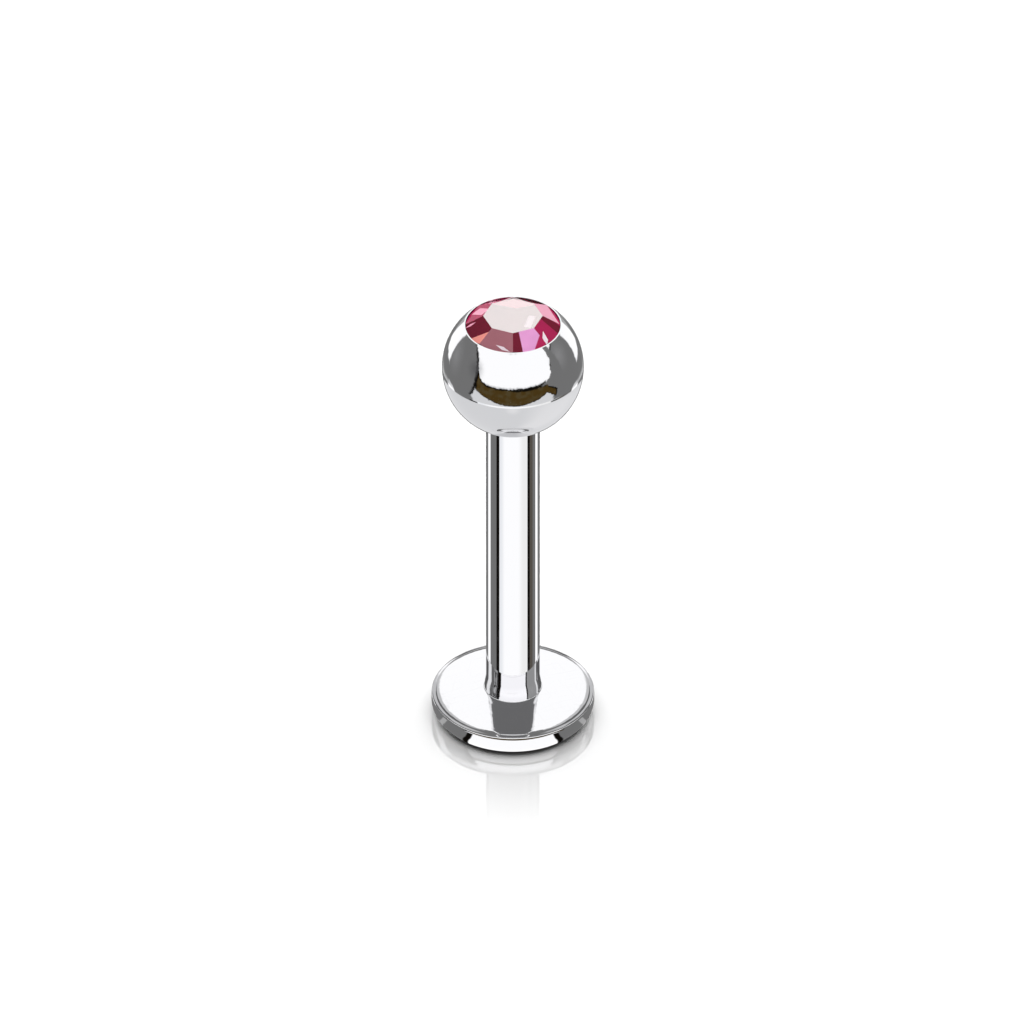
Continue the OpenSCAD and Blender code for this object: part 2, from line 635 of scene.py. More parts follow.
@dataclass(frozen=True)
class PolishedSteel:
    """Surgical steel with a mirror polish, its blotches and waves in millimetres."""

    name: str
    colour: Colour = (0.72, 0.72, 0.73)
    smooth: float = 0.03
    dull: float = 0.07
    blotch: float = 0.6
    blotch_edges: tuple[float, float] = (0.35, 0.7)
    grain: float = 0.9
    ripple: float = 4.0e-6
    hairline: float = 0.0
    weld: WeldMarks | None = None

    def make(self) -> Material:
        """Builds the material.

        Returns:
            A metal whose roughness and surface vary a little, as polishing leaves it.
        """
        material, graph, shader = new_material(self.name)
        graph.fill(shader, {"Base Color": self.colour, "Metallic": 1.0})
        blotches = graph.noise(graph.place(), self.blotch * MM)
        roughness = graph.ease(blotches, *self.blotch_edges, self.smooth, self.dull)
        waves = graph.noise(graph.place(), self.grain * MM, 0.0)
        height = graph.math("MULTIPLY", waves, self.ripple * MM)
        if self.hairline:
            self.scratch(graph, shader)
        if self.weld is not None:
            roughness, height = self.weld.leave(graph, roughness, height)
        graph.feed(shader.inputs["Roughness"], roughness)
        graph.raise_surface(shader, height)
        return material

    def scratch(self, graph: Graph, shader: Node) -> None:
        """Draws fine hairlines in a few directions, slightly darker than the metal.

        Args:
            graph: The material's graph.
            shader: Its shader node.
        """
        marks: object = 0.0
        for turn, share in HAIRLINES:
            lines = graph.noise(graph.place(HAIRLINE_STRETCH, turn), HAIRLINE_GRAIN * MM, 1.0)
            fine = graph.ease(lines, *HAIRLINE_EDGES, 0.0, self.hairline * share)
            marks = graph.math("MAXIMUM", marks, fine)
        dark = tuple(HAIRLINE_SHADE * c for c in self.colour)
        graph.feed(shader.inputs["Base Color"], graph.blend(marks, self.colour, dark))


@dataclass(frozen=True)
class PaintedReflection:
    """A bar of painted reflection inside a facet, seen from above, in millimetres: a lighter bar is a
    painted highlight, a darker one a painted dark reflection.
    """

    tone: Colour
    x: float
    y: float
    length: float
    width: float
    turn: float
    pointed: bool = False
    soft: float = 0.05

    def share(self, graph: Graph) -> Socket:
        """Measures how far a point lies inside the bar.

        Args:
            graph: The material's graph.

        Returns:
            A share from 0 to 1.
        """
        half = (self.length / 2 * MM, self.width / 2 * MM, 1.0)
        where = graph.place(half, self.turn, (self.x * MM, self.y * MM, 0.0))
        x, y, _ = graph.split(where)
        join = "ADD" if self.pointed else "MAXIMUM"
        reach = graph.math(join, graph.math("ABSOLUTE", x), graph.math("ABSOLUTE", y))
        return graph.ease(reach, 1 + self.soft, 1 - self.soft)


# The stone's tones, its pink with the light and shade of its facets painted in: the lighter ones are
# painted light and highlights, the darker ones painted shade and dark reflections
CRIMSON: Colour = (0.5, 0.016, 0.1)
WINE: Colour = (0.18, 0.007, 0.027)
ROSE: Colour = (0.5, 0.19, 0.23)
ORCHID: Colour = (1.0, 0.43, 0.83)
BLUSH: Colour = (1.0, 0.42, 0.58)
PEACH: Colour = (0.95, 0.33, 0.28)
PEARL: Colour = (1.0, 0.86, 0.93)
HAZE: Colour = (0.41, 0.28, 0.27)
PETAL: Colour = (0.62, 0.34, 0.35)
MIST: Colour = (0.62, 0.5, 0.52)


@dataclass(frozen=True)
class CutGlass:
    """Pink glass over foil: part of it is seen through, and the rest shows its painted tone, the stone's
    pink with the facet's light and shade painted in.
    """

    name: str
    tone: Colour
    painted_reflections: tuple[PaintedReflection, ...] = ()
    # body: how much of the facet shows its painted tone; the rest is seen through
    body: float = 0.82
    ior: float = 1.6
    coat: float = 0.0
    coat_ior: float = 1.5
    coat_roughness: float = 0.02
    blotch: float = 0.7
    shade: float = 0.8

    def make(self) -> Material:
        """Builds the material.

        Returns:
            A glass whose painted tone is crossed by its painted reflections.
        """
        material, graph, shader = new_material(self.name)
        graph.fill(shader, {
            "Transmission Weight": 1 - self.body,
            "IOR": self.ior,
            "Roughness": 0.0,
            "Coat Weight": self.coat,
            "Coat IOR": self.coat_ior,
            "Coat Roughness": self.coat_roughness,
        })
        # The painted tone: the stone's pink with the facet's light and shade painted in, darker in random
        # blotches
        cloud = graph.noise(graph.place(), self.blotch * MM)
        deep = tuple(c * self.shade for c in self.tone)
        seen = graph.blend(cloud, deep, self.tone)
        # Painted highlights and dark reflections laid over it
        for painted_reflection in self.painted_reflections:
            seen = graph.blend(painted_reflection.share(graph), seen, painted_reflection.tone)
        graph.feed(shader.inputs["Base Color"], seen)
        return material


@dataclass(frozen=True)
class Foil:
    """Coloured metal foil laid behind the stone, its blotches and crinkles in millimetres."""

    name: str
    colour: Colour = (0.93, 0.10, 0.34)
    deep: Colour = (0.62, 0.02, 0.16)
    roughness: float = 0.12
    blotch: float = 0.7
    blotch_edges: tuple[float, float] = (0.3, 0.7)
    crinkle: float = 0.25
    crinkle_height: float = 0.002

    def make(self) -> Material:
        """Builds the material.

        Returns:
            A coloured metal with a slight crinkle.
        """
        material, graph, shader = new_material(self.name)
        graph.fill(shader, {"Metallic": 1.0, "Roughness": self.roughness})
        cloud = graph.noise(graph.place(), self.blotch * MM)
        share = graph.ease(cloud, *self.blotch_edges)
        graph.feed(shader.inputs["Base Color"], graph.blend(share, self.deep, self.colour))
        waves = graph.noise(graph.place(), self.crinkle * MM)
        graph.raise_surface(shader, graph.math("MULTIPLY", waves, self.crinkle_height * MM))
        return material


def hand_over(piece: Piece, node: str, body: Body, slot: Slot) -> None:
    """Puts a finished piece in the place of its CAD node.

    Args:
        piece: The piece.
        node: The CAD node that it stands for.
        body: The body that it rides on.
        slot: Its material slot; not used.
    """
    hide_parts(node)
    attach(piece, body.value)
    faces = len(piece.data.polygons)
    log.info("%s stands for %s on %s, with %d faces", piece.name, node, body.value, faces)


def dress(piece: Piece, finishes: list[Material],
          choose: Callable[[Face], int]) -> None:
    """Gives each face of a piece its finish.

    Args:
        piece: The piece.
        finishes: The materials.
        choose: Gives a face the number of its material.
    """
    piece.data.materials.clear()
    for finish in finishes:
        piece.data.materials.append(finish)
    for face in piece.data.polygons:
        face.material_index = choose(face)


@dataclass
class LabretPost:
    """The back disc, the weld, the post and its threaded end, in millimetres.

    The rim is drawn as curls: the two leans in degrees, the length and the steps of each.
    """

    thread: Thread
    post_r: float = 0.8
    post_len: float = 10.0
    shoulder_bevel: float = 0.06
    disc_r: float = 2.425
    disc_t: float = 0.7
    disc_rise: float = 0.19
    rim_fall: float = 0.071
    disc_round: float = 0.45
    rim: tuple[tuple[float, float, float, int], ...] = (
        (90, 72, 0.06, 6), (72, 14, 0.03, 6), (14, 11, 0.1, 4), (20, 19, 0.038, 2),
    )
    dome_lean: float = 8.0
    foot_flare: float = 0.048
    foot_height: float = 0.5
    foot_fillet: float = 0.025
    sink_margin: float = 0.11
    rest_gap: float = 0.01
    tip_round: float = 0.3
    margin: float = 0.03
    rim_margin: float = 0.01
    round_steps: int = 18
    dome_steps: int = 14
    fillet_sweep: float = 84.0
    fillet_steps: int = 6
    flare_steps: int = 12
    tip_steps: int = 10
    face_level: float = 0.985

    @property
    def weld_z(self) -> float:
        """The height of the disc's top where it meets the weld."""
        return self.disc_t + self.disc_rise

    @property
    def crest_r(self) -> float:
        """The radius over the thread's crests."""
        return self.post_r - self.thread.crest_step

    @property
    def under_z(self) -> float:
        """The height of the ball's underside."""
        return self.disc_t + self.post_len

    @property
    def shoulder_z(self) -> float:
        """The height of the shoulder that the ball seats on."""
        gap = self.rest_gap * math.sqrt(2)
        return self.under_z + self.sink_margin + self.shoulder_bevel - gap

    def draw_disc(self) -> Section:
        """Draws the disc's half section: a round lower edge, a bevel, a ring and a low dome.

        Returns:
            The section so far, which ends at the weld.
        """
        low = self.disc_round
        line = Section(0, 0).line(self.disc_r - low - self.margin, 0).line(self.disc_r - low, 0)
        line.arc(self.disc_r - low, low, 90, self.round_steps)
        line.line(self.disc_r, self.disc_t - self.rim_fall)
        for start, end, length, steps in self.rim:
            line.curl(start, end, length, steps)
        wide = self.post_r + self.foot_flare
        return line.bow(wide + self.foot_fillet, self.weld_z, self.dome_lean, self.dome_steps)

    def draw_foot(self, line: Section) -> None:
        """Draws the weld: a small fillet below a flare that runs out up the post.

        Args:
            line: The section, which stands at the weld.
        """
        wide = self.post_r + self.foot_flare
        centre_r, centre_z = wide + self.foot_fillet, self.weld_z + self.foot_fillet
        line.arc(centre_r, centre_z, -self.fillet_sweep, self.fillet_steps)
        for step in range(1, self.flare_steps + 1):
            share = step / self.flare_steps
            fall = 0.5 + 0.5 * math.cos(math.pi * share)
            rise = self.foot_fillet + (self.foot_height - self.foot_fillet) * share
            line.line(self.post_r + self.foot_flare * fall, self.weld_z + rise)

    def build(self) -> Piece:
        """Models the whole post.

        Returns:
            The finished piece.
        """
        bevel = self.shoulder_bevel
        tip_z = top_of("labret_post")
        line = self.draw_disc()
        self.draw_foot(line)
        line.line(self.post_r, self.shoulder_z - bevel - self.margin)
        line.line(self.post_r, self.shoulder_z - bevel)
        line.line(self.post_r - bevel, self.shoulder_z).line(0, self.shoulder_z)
        post = line.turn("labret_post_steel", POST_SIDES)
        start_z = self.shoulder_z - 2 * bevel
        rod_r = self.post_r - self.thread.crest_step / 2
        end = Section(0, start_z).line(rod_r, start_z).line(rod_r, tip_z - self.tip_round)
        end.arc(rod_r - self.tip_round, tip_z - self.tip_round, 90, self.tip_steps).line(0, tip_z)
        blank = end.turn("thread_end", THREAD_STEPS)
        rod = self.thread.rod("thread", self.crest_r, self.thread.crest_w, start_z, tip_z)
        rod.work(blank, Cut.KEEP)
        post.work(rod, Cut.JOIN)
        return post.finish(ROUND_EDGE)

    def dress(self, piece: Piece) -> None:
        """Gives the disc's top fine hairlines and the rest a mirror polish.

        Args:
            piece: The finished post.
        """
        weld = WeldMarks(self.weld_z, self.weld_z + self.foot_height)
        steel = PolishedSteel("post_steel_polish", smooth=0.015, dull=0.03, weld=weld)
        face = PolishedSteel("disc_face_steel", ripple=9e-4, grain=0.12, hairline=0.03)
        low, high = (self.disc_t - self.rim_margin) * MM, (self.weld_z + self.rim_margin) * MM
        dress(
            piece,
            [steel.make(), face.make()],
            lambda f: int(f.normal.z > self.face_level and low < f.center.z < high),
        )


@dataclass
class ThreadedBall:
    """The ball with its tapped hole and the stone's seat, in millimetres."""

    post: LabretPost
    ball_r: float = 2.1
    hole_spare: float = 0.1
    stone_r: float = 1.395
    seat_gap: float = 0.015
    lip_width: float = 0.04
    ball_steps: int = 96

    @property
    def under_r(self) -> float:
        """The radius of the countersink at the ball's underside."""
        return self.post.post_r + self.post.sink_margin

    @property
    def seat_r(self) -> float:
        """The radius of the bore round the stone."""
        return self.stone_r + self.seat_gap

    @property
    def ball_z(self) -> float:
        """The height of the ball's centre."""
        return self.post.under_z + math.sqrt(self.ball_r**2 - self.under_r**2)

    @property
    def mouth_z(self) -> float:
        """The height at which the stone's bore would meet the ball."""
        return self.ball_z + math.sqrt(self.ball_r**2 - self.seat_r**2)

    def build(self) -> Piece:
        """Models the ball, with a seat that follows the stone's back.

        Returns:
            The finished piece.
        """
        stone = Crystal(self)
        lip_r = self.seat_r + self.lip_width
        lip_z = self.ball_z + math.sqrt(self.ball_r**2 - lip_r**2)
        under = self.post.under_z
        line = Section(0, stone.seat_low_z)
        line.line(self.seat_r, stone.seat_low_z + self.seat_r * stone.corner_slope)
        line.line(self.seat_r, lip_z).line(lip_r, lip_z)
        high = math.degrees(math.atan2(lip_z - self.ball_z, lip_r))
        low = math.degrees(math.atan2(under - self.ball_z, self.under_r))
        line.arc(0, self.ball_z, low - high, self.ball_steps)
        line.line(0, under + self.under_r)
        ball = line.turn("threaded_ball_steel", BALL_SIDES)
        hole_end_z = top_of("labret_post") + self.hole_spare
        tap = self.post.thread.rod(
            "tap",
            self.post.crest_r + self.post.thread.clearance,
            self.post.thread.tapped_crest_w,
            under - self.post.sink_margin,
            hole_end_z,
        )
        tap.edit()
        tap.slice(Vector((0, 0, hole_end_z)), Vector((0, 0, 1)))
        tap.close()
        ball.work(tap, Cut.CARVE)
        return ball.finish(ROUND_EDGE)

    def dress(self, piece: Piece) -> None:
        """Gives the finished ball a mirror polish."""
        dress(piece, [PolishedSteel("ball_steel_polish").make()], lambda f: 0)


@dataclass
class Crystal:
    """The round stone with a table, eight crown facets and eight below, in millimetres."""

    ball: ThreadedBall
    table_r: float = 0.88
    girdle_h: float = 0.04
    stone_sink: float = 0.09
    facets: int = 8
    bed_t: float = 0.06
    bed_gap: float = 0.02
    table_level: float = 0.99
    back_level: float = -0.1

    @property
    def stone_r(self) -> float:
        """The stone's radius over its girdle."""
        return self.ball.stone_r

    @property
    def girdle_z(self) -> float:
        """The height of the girdle's upper edge."""
        return self.ball.mouth_z - self.stone_sink

    @property
    def crown_angle(self) -> float:
        """The lean of a crown facet in radians."""
        half = math.pi / self.facets
        run = self.stone_r - self.table_r * math.cos(half)
        return math.atan((top_of("crystal") - self.girdle_z) / run)

    @property
    def pavilion_slope(self) -> float:
        """The slope of a pavilion facet."""
        return (self.girdle_z - self.girdle_h - foot_of("crystal")) / self.stone_r

    @property
    def corner_slope(self) -> float:
        """The slope of the pavilion's corners, which the seat follows."""
        return self.pavilion_slope * math.cos(math.pi / self.facets)

    def below_culet(self, layers: float) -> float:
        """Returns a height below the culet, for a layer measured square to the seat."""
        return foot_of("crystal") - layers / math.cos(math.atan(self.corner_slope))

    @property
    def seat_low_z(self) -> float:
        """The height of the seat's lowest point."""
        return self.below_culet(2 * self.bed_gap + self.bed_t)

    def build(self) -> Piece:
        """Grinds the facets off a round blank.

        Returns:
            The finished piece.
        """
        top, foot = top_of("crystal"), foot_of("crystal")
        clear_selection()
        bpy.ops.mesh.primitive_cylinder_add(
            vertices=GIRDLE_SIDES, radius=self.stone_r, depth=top - foot,
            location=(0, 0, (top + foot) / 2),
        )
        stone = Workpiece("crystal_stone")
        bpy.ops.object.transform_apply(location=True)
        stone.edit()
        back_angle = math.atan(self.pavilion_slope)
        for number in range(self.facets):
            side = FULL_TURN * (number + 0.5) / self.facets
            for height, lean, way in (
                (self.girdle_z, self.crown_angle, 1),
                (self.girdle_z - self.girdle_h, back_angle, -1),
            ):
                out = Vector((math.cos(side), math.sin(side), 0))
                up = Vector((0, 0, 1))
                normal = out * math.sin(lean) + up * way * math.cos(lean)
                stone.slice(out * self.stone_r + up * height, normal)
        stone.close()
        return stone.finish(FACET_EDGE)

    def dress(self, piece: Piece) -> None:
        """Gives the stone facets above the girdle with their light and shade painted in, facet by facet,
        and foil below.

        Args:
            piece: The finished stone.
        """
        # Each crown facet's painted tone, with its painted highlights and dark reflections
        crown = [
            CutGlass("crown_blush", BLUSH, (PaintedReflection(CRIMSON, 1.27, 0.5, 0.16, 1.2, 20),)),
            CutGlass("crown_back_wine", WINE),
            CutGlass("crown_back_crimson", CRIMSON, (PaintedReflection(BLUSH, -0.62, 1.0, 0.5, 0.3, 60),)),
            CutGlass("crown_crimson", CRIMSON, (PaintedReflection(BLUSH, -0.95, 0.42, 0.3, 0.5, 35),)),
            CutGlass("crown_wine", WINE, (
                PaintedReflection(PEACH, -1.05, -0.86, 0.9, 0.4, -8), PaintedReflection(BLUSH, -1.26, -0.12, 0.34, 0.09, 6, True),
            )),
            CutGlass("crown_rose", ROSE, (PaintedReflection(PEARL, -0.3, -1.24, 0.5, 0.09, -33, True),)),
            CutGlass("crown_orchid", ORCHID, (
                PaintedReflection(WINE, -0.044, -1.19, 1.2, 0.6, -76.6), PaintedReflection(CRIMSON, 0.925, -1.16, 1.0, 0.5, 71),
            ), 0.96),
            CutGlass("crown_front_crimson", CRIMSON, (
                PaintedReflection(WINE, 1.12, -0.12, 0.6, 0.3, -25), PaintedReflection(PEARL, 0.955, -0.82, 0.52, 0.17, -75, True),
            )),
        ]
        # The table's pale tone and its two lighter bars are painted reflections of the light above, under
        # a coat that also reflects
        table = CutGlass(
            "table_glass", HAZE,
            (PaintedReflection(PETAL, 0.1, 0.62, 1.5, 0.5, 0, True), PaintedReflection(MIST, 0.5, -0.3, 0.6, 0.2, 76)),
            0.8, coat=1.0, coat_ior=4.5,
        )

        def choose(face: Face) -> int:
            """Chooses a finish by the way that a face of the stone looks.

            Args:
                face: The face.

            Returns:
                The number of its finish.
            """
            if face.normal.z > self.table_level:
                return self.facets
            if face.normal.z < self.back_level:
                return self.facets + 1
            bearing = math.atan2(face.center.y, face.center.x) % FULL_TURN
            return int(bearing / FULL_TURN * self.facets) % self.facets

        finishes = (*crown, table, Foil("pavilion_foil"))
        dress(piece, [finish.make() for finish in finishes], choose)


@dataclass
class StoneBed:
    """The thin bed of foil and cement that lines the seat, in millimetres."""

    crystal: Crystal

    def build(self) -> Piece:
        """Models the bed as a shallow dish that leaves the culet a pointed hollow.

        Returns:
            The finished piece.
        """
        stone = self.crystal
        low = stone.below_culet(stone.bed_gap + stone.bed_t)
        high = stone.below_culet(stone.bed_gap)
        rim_r = stone.stone_r - stone.bed_t
        rim_z = low + rim_r * stone.corner_slope
        line = Section(0, low).line(rim_r, rim_z)
        line.line((rim_z - high) / stone.corner_slope, rim_z).line(0, high)
        return line.turn("stone_bed_foil", GIRDLE_SIDES).finish(ROUND_EDGE)

    def dress(self, piece: Piece) -> None:
        """Gives the finished bed its foil."""
        dress(piece, [Foil("bed_foil", roughness=0.3).make()], lambda f: 0)


@dataclass(frozen=True)
class Panel:
    """A patch of the studio, as the metal sees it, in degrees.

    It lies between two bearings from the camera and two heights. A bow lifts an
    edge by that many degrees for each thousand square degrees of bearing. A fade
    softens the edges to the sides more than those above and below. A corner is the
    bearing where the upper edge has swept up. A patchy panel shows in blotches.
    """

    colour: Colour
    near: float
    far: float
    low: float
    high: float
    soft: float = 1.0
    side: Side = Side.BOTH
    low_bow: float = 0.0
    high_bow: float = 0.0
    fade: float = 0.0
    corner: float = 0.0
    patchy: bool = False

    def share(self, graph: Graph, look: Look) -> Socket:
        """Measures how far a direction lies inside the panel.

        Args:
            graph: The world's graph.
            look: The direction.

        Returns:
            A share from 0 to 1.
        """
        square = graph.math("MULTIPLY", look.bearing, look.bearing)
        share = graph.within(look.bearing, self.near, self.far, self.fade or self.soft)
        above = graph.math("MULTIPLY_ADD", square, -self.low_bow / 1000, look.height)
        below = graph.math("MULTIPLY_ADD", square, -self.high_bow / 1000, look.height)
        if self.corner:
            sweep = graph.math("POWER", graph.math("DIVIDE", look.bearing, self.corner), CORNER_POWER)
            below = graph.math("MULTIPLY_ADD", sweep, -CORNER_RISE, below)
        for height, edge, way in ((above, self.low, 1), (below, self.high, -1)):
            step = graph.ease(height, edge - way * self.soft, edge + way * self.soft)
            share = graph.math("MULTIPLY", share, step)
        if self.patchy:
            share = graph.math("MULTIPLY", share, look.cloud)
        return share


@dataclass(frozen=True)
class Spot:
    """A round patch of the studio, as the metal sees it, in degrees."""

    colour: Colour
    bearing: float
    height: float
    radius: float
    soft: float = 1.0
    side: Side = Side.BOTH

    def share(self, graph: Graph, look: Look) -> Socket:
        """Measures how far a direction lies inside the spot.

        Args:
            graph: The world's graph.
            look: The direction.

        Returns:
            A share from 0 to 1.
        """
        turn, rise = math.radians(self.bearing), math.radians(self.height)
        level = math.cos(rise)
        centre = (math.sin(turn) * level, -math.cos(turn) * level, math.sin(rise))
        facing = graph.vector("DOT_PRODUCT", look.folded, centre, result="Value")
        angle = graph.math("DEGREES", graph.math("ARCCOSINE", facing))
        return graph.ease(angle, self.radius + self.soft, self.radius - self.soft)


@dataclass(frozen=True)
class Look:
    """A direction in the world's graph, and its bearing and height in degrees."""

    folded: object
    bearing: object
    height: object
    right: object
    cloud: object

    @classmethod
    def of(cls, graph: Graph, waver: float) -> Look:
        """Reads the direction that a ray leaves in.

        Args:
            graph: The world's graph.
            waver: How many degrees the edges of the patches wander.

        Returns:
            The direction, with its left side folded onto its right.
        """
        way = graph.add("TexCoord").outputs["Generated"]
        shake = graph.add("TexNoise", {"Vector": way, "Scale": WAVER_SCALE})
        centred = graph.vector("SUBTRACT", shake.outputs["Color"], (0.5, 0.5, 0.5))
        still, rough = (math.sin(math.radians(h)) for h in (STILL_BELOW, WAVER_ABOVE))
        amount = graph.ease(graph.split(way)[2], still, rough, 0.0, math.radians(WAVER_GAIN * waver))
        off = graph.vector("MULTIPLY_ADD", centred, amount, way)
        x, y, z = graph.split(graph.vector("NORMALIZE", off))
        folded = graph.feed_all(graph.add("CombineXYZ"), graph.math("ABSOLUTE", x), y, z)
        height = graph.math("DEGREES", graph.math("ARCSINE", z))
        right = graph.math("GREATER_THAN", x, 0.0)
        cloud = graph.ease(graph.noise(way, CLOUD_GRAIN), *CLOUD_EDGES)
        return cls(folded.outputs[0], graph.bearing(x, y), height, right, cloud)


WHITE: Colour = (1.36, 1.36, 1.37)
PALE: Colour = (1.0, 1.0, 1.01)
SILVER: Colour = (0.5, 0.5, 0.5)
GREY: Colour = (0.22, 0.22, 0.22)
DARK: Colour = (0.16, 0.16, 0.16)
SLATE: Colour = (0.13, 0.13, 0.135)
ASH: Colour = (0.34, 0.34, 0.345)
LIGHT: Colour = (0.7, 0.7, 0.71)
GROUND: Colour = (0.87, 0.875, 0.89)
BRIGHT: Colour = (1.72, 1.71, 1.74)
SHADOW: Colour = (0.245, 0.245, 0.247)
COOL: Colour = (1.02, 1.05, 1.09)
WARM: Colour = (1.17, 1.17, 1.16)
BLACK: Colour = (0.006, 0.005, 0.004)
BROWN: Colour = (0.085, 0.05, 0.012)
UMBER: Colour = (0.12, 0.105, 0.088)
SAND: Colour = (0.1, 0.072, 0.03)
CHALK: Colour = (0.84, 0.84, 0.84)
PAPER: Colour = (0.85, 0.85, 0.85)
FELT: Colour = (0.79, 0.79, 0.79)
PLAIN: Colour = (1.0, 1.0, 1.0)

# The rim card's bands by bearing: a painted reflection for the disc's rim
RIM_REFLECTION_BANDS = ((WHITE, -1, 38), (BLACK, 37.5, 43), (SILVER, 68, 74))

STUDIO: tuple[Panel | Spot, ...] = (
    Panel(PALE, 40, 130, -91, -37, 6, Side.RIGHT, fade=30),
    Spot(PALE, 0, -40, 7, 6),
    Panel(WHITE, -1, 126, 0, 91, 1.5),
    Panel(DARK, 126, 181, 12, 91, 1.5),
    Panel(LIGHT, 158, 168, 12, 60, 1.5),
    Panel(WHITE, 166.5, 181, 18, 55, 1.5),
    Spot(GREY, 0, 90, 33, 3),
    Spot(PALE, 0, 90, 12, 2),
    Panel(SILVER, 126, 181, -35, 12, 3),
    Panel(GREY, 78, 150, -32, -14, 1.5),
    Panel(GREY, 150, 166, -32, -15, 2),
    Spot(BLACK, 93, 0, 35.5, 1, Side.LEFT),
    Spot(GREY, 97.5, -1, 35, 1.5, Side.LEFT),
    Spot(BLACK, 99, 0, 35, 1, Side.RIGHT),
    Spot(GREY, 101, -1, 34, 1.5, Side.RIGHT),
    Spot(SLATE, 66, 12, 6, 14, Side.LEFT),
    Spot(ASH, 112, -2, 6, 18, Side.LEFT),
    Spot(ASH, 92, 16, 8, 18, Side.RIGHT),
    Panel(WHITE, 123, 150, -18, 16, 1.5),
    Spot(GREY, 180, -36, 16, 2),
    Panel(GREY, 68, 112, -36, -28, 0.8, fade=2),
    Panel(BLACK, -1, 60, -33, -2.5, 0.8, Side.LEFT, 4.9, corner=57),
    Panel(BROWN, -1, 57.5, -31.5, -5.5, 1.5, Side.LEFT, 4.9, corner=57),
    Panel(SAND, -1, 57.5, -31.5, -5.5, 1.5, Side.LEFT, 4.9, corner=57, patchy=True),
    Panel(BLACK, -1, 53, -33, -1.5, 0.8, Side.RIGHT, 4.9, corner=65),
    Panel(GREY, 66, 86, -31, -4, 1, Side.RIGHT, corner=65, fade=2),
    Panel(GREY, 46, 68, -15, -4, 1, Side.RIGHT, corner=65, fade=2),
    Panel(BLACK, -1, 55, -33, -6, 0.8, Side.RIGHT, 4.9),
    Panel(BLACK, 50, 73, -4, 7.5, 0.8, Side.RIGHT, -5.1, -5),
    Panel(BROWN, -1, 56, -31.5, -7, 1.5, Side.RIGHT, 4.9),
    Panel(SAND, -1, 56, -31.5, -7, 1.5, Side.RIGHT, 4.9, patchy=True),
    Panel(BROWN, 52, 71, -2.5, 5, 1, Side.RIGHT, -5.1, -5),
    Panel(WHITE, -1, 60, -37.1, -34.4, 0.3),
    Panel(COOL, 46, 60, -37.1, -34.4, 0.3, Side.LEFT, fade=14),
    Panel(WARM, 34, 78, -37.1, -34.4, 0.3, Side.RIGHT, fade=14),
    Panel(BLACK, 60, 77, -37, -35.1, 0.2, Side.LEFT, fade=1),
    Panel(BLACK, 65, 79, -37, -35.1, 0.2, Side.RIGHT, fade=1),
    Panel(GREY, 75, 111, -37, -35.1, 0.2, Side.LEFT, fade=1),
    Panel(UMBER, 77, 112, -37, -35.1, 0.2, Side.RIGHT, fade=1),
    Panel(GREY, 94, 110, -37, -35.1, 0.2, Side.RIGHT, fade=8),
    Panel(WHITE, 112, 131, -37.1, -34.9, 0.3, fade=2),
    Panel(GREY, 133, 181, -37.1, -34.9, 0.3, fade=2),
)

# What the steel sees after two glossy bounces, in place of the studio: painted reflections, such as the
# dark reflection of the post on the disc
ECHO: tuple[Panel, ...] = (
    Panel(WHITE, -1, 181, 43, 91, 3),
    Panel(SHADOW, -20, 127, 37, 69, 3, fade=7),
    Panel(BRIGHT, -20, 66, 2, 35, 3, fade=7),
    Panel(BLACK, 50, 82, -2, 35, 1.5, Side.LEFT, fade=2),
    Panel(LIGHT, 66, 84, -2, 35, 1.5, Side.LEFT, patchy=True),
    Panel(SILVER, 58, 112, -2, 35, 2, Side.RIGHT),
    Panel(BLACK, 54, 60, -2, 35, 2, Side.RIGHT, fade=1),
    Panel(WHITE, 102, 124, -2, 35, 2, Side.LEFT, fade=3),
    Panel(WHITE, 105, 114, -2, 35, 2, Side.RIGHT, fade=3),
)


